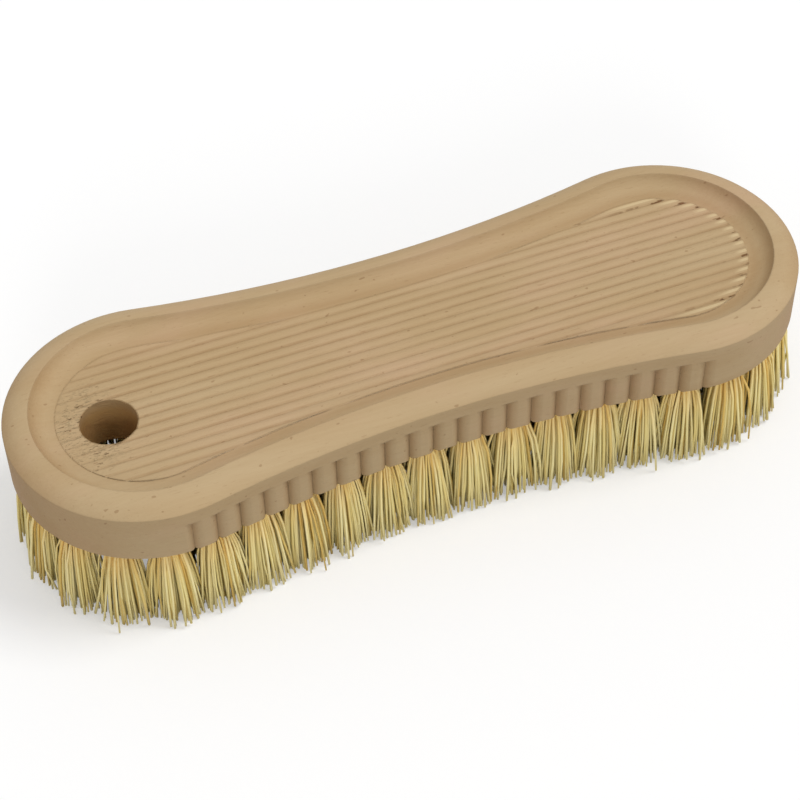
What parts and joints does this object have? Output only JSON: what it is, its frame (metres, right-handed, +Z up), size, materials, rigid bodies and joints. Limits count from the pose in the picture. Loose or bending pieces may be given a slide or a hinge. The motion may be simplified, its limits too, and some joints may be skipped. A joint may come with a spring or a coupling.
{
  "type": "scrub brush",
  "caption": "Hand scrubbing brush: waisted wooden block with fluted sides, ribbed recess and hanging hole, filled with stapled tufts of stiff plant fibre.",
  "frame": {"origin": "middle of the brush's length and width, on the surface that its fibre tips stand on", "axes": "+X along the block away from the hanging hole, +Y across it, +Z up from the tips to the rim"},
  "size_m": [0.221, 0.0746, 0.046],
  "materials": {
    "beech": "bare sanded wood",
    "fibre": "coarse matt plant fibre",
    "wire": "drawn wire"
  },
  "bodies": {
    "root": {"wood_block": "beech", "tuft_row_01": "fibre", "tuft_row_02": "fibre", "tuft_row_03": "fibre", "tuft_row_04": "fibre", "tuft_row_05": "fibre", "tuft_row_06": "fibre", "tuft_row_07": "fibre", "tuft_row_08": "fibre", "tuft_row_09": "fibre", "tuft_row_10": "fibre", "tuft_row_11": "fibre", "tuft_row_12": "fibre", "tuft_row_13": "fibre", "tuft_row_14": "fibre", "tuft_row_15": "fibre", "tuft_row_16": "fibre", "tuft_row_17": "fibre", "tuft_row_18": "fibre", "staple_row_01": "wire", "staple_row_02": "wire", "staple_row_03": "wire", "staple_row_04": "wire", "staple_row_05": "wire", "staple_row_06": "wire", "staple_row_07": "wire", "staple_row_08": "wire", "staple_row_09": "wire", "staple_row_10": "wire", "staple_row_11": "wire", "staple_row_12": "wire", "staple_row_13": "wire", "staple_row_14": "wire", "staple_row_15": "wire", "staple_row_16": "wire", "staple_row_17": "wire", "staple_row_18": "wire"}
  },
  "joints": []
}
